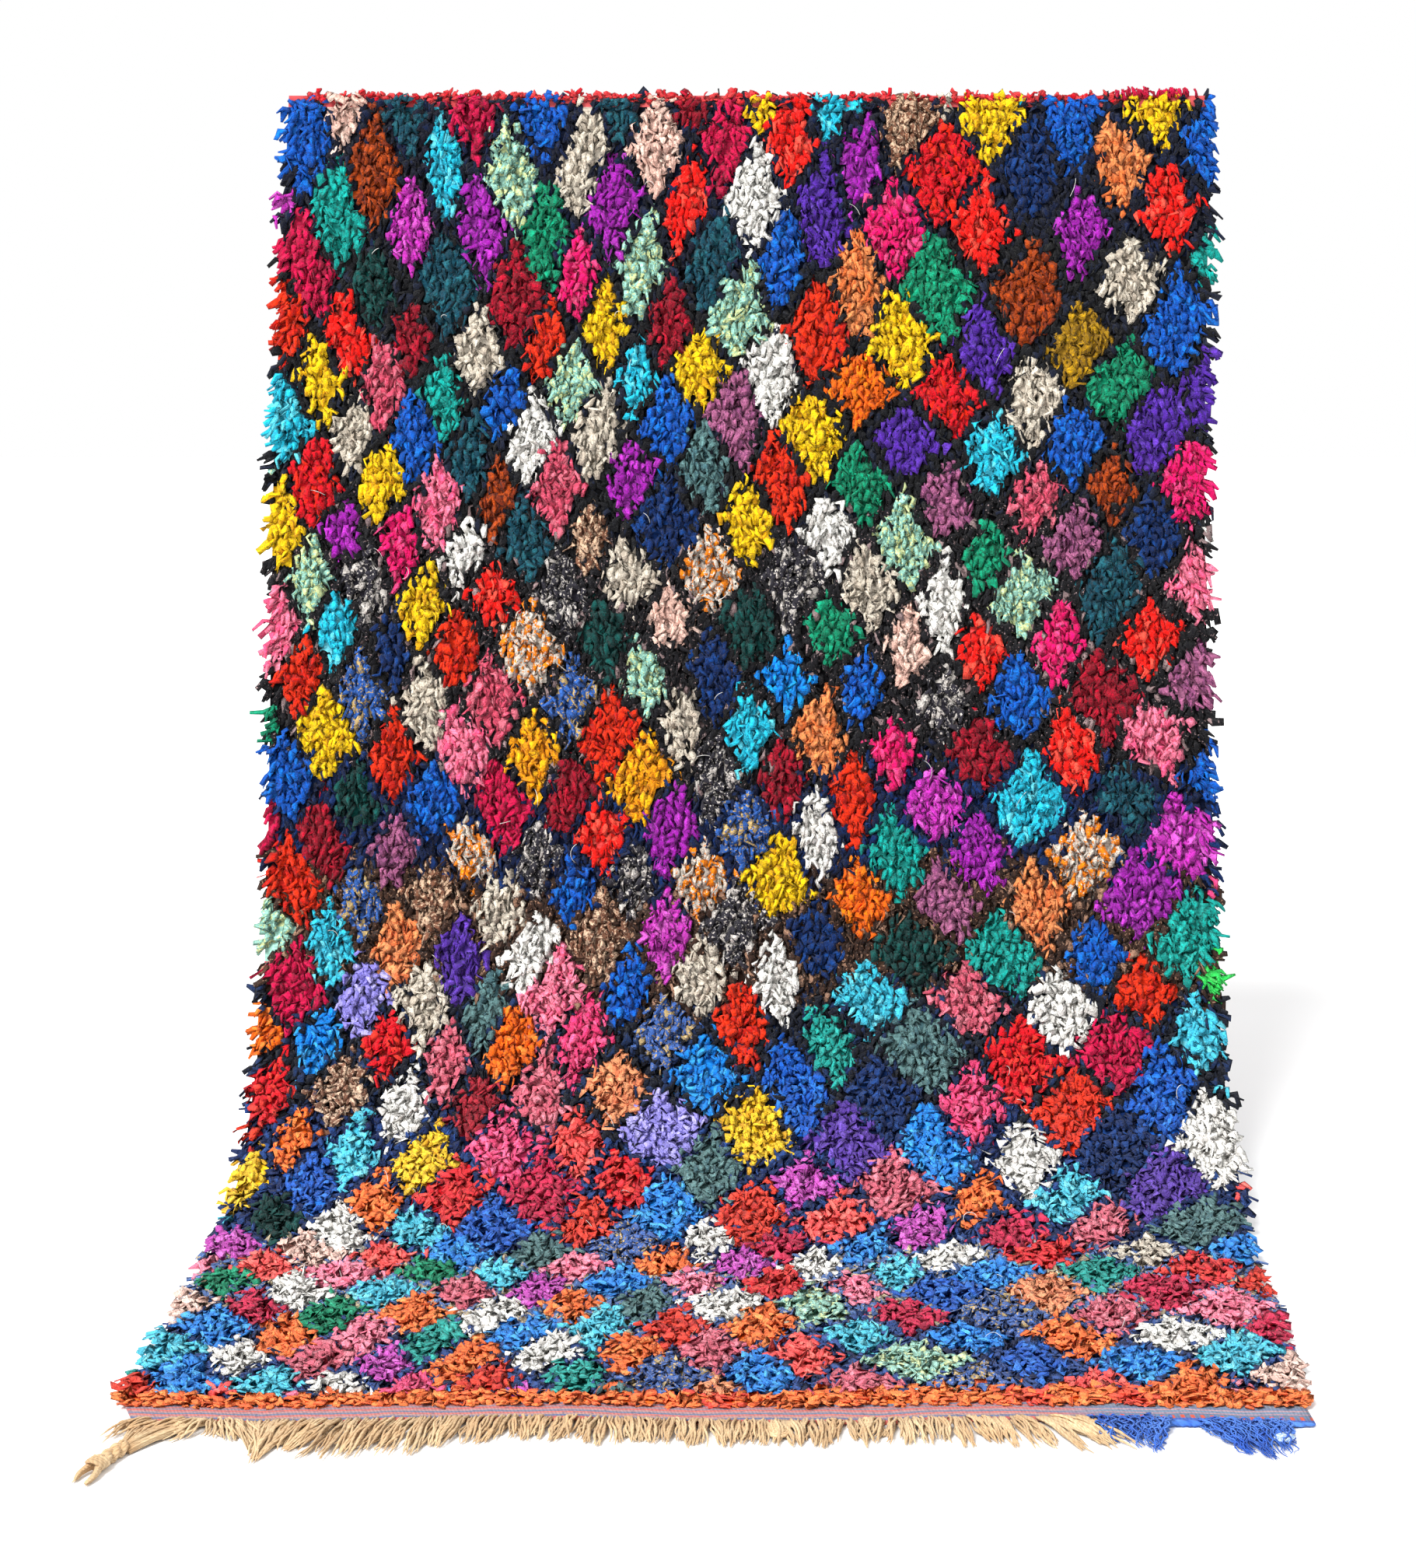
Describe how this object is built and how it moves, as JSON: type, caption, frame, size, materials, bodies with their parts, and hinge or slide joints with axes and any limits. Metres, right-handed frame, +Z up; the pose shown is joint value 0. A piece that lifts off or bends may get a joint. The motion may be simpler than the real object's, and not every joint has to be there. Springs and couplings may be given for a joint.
{
  "type": "boucherouite rug",
  "caption": "Shaggy boucherouite rag rug with many-coloured lozenges, hung from its top edge with its front laid on the floor, and a fringed flat-woven end.",
  "frame": {"origin": "middle of the top edge, at the back of the cloth", "axes": "+Z up, -Y toward the viewer and the laid end, +X to the viewer's right"},
  "size_m": [1.5663, 1.3844, 1.6609],
  "materials": {
    "rag_pile": "knotted cotton and jersey rags, matt, in lozenges of many colours on a dark ground",
    "undyed_wool": "undyed beige wool, twisted",
    "blue_wool": "cobalt blue wool, curly",
    "braid_wool": "undyed beige wool, plaited and knotted"
  },
  "bodies": {
    "root": {"rug_body": "rag_pile", "beige_fringe": "undyed_wool", "blue_fringe": "blue_wool", "corner_braid": "braid_wool"}
  },
  "joints": []
}
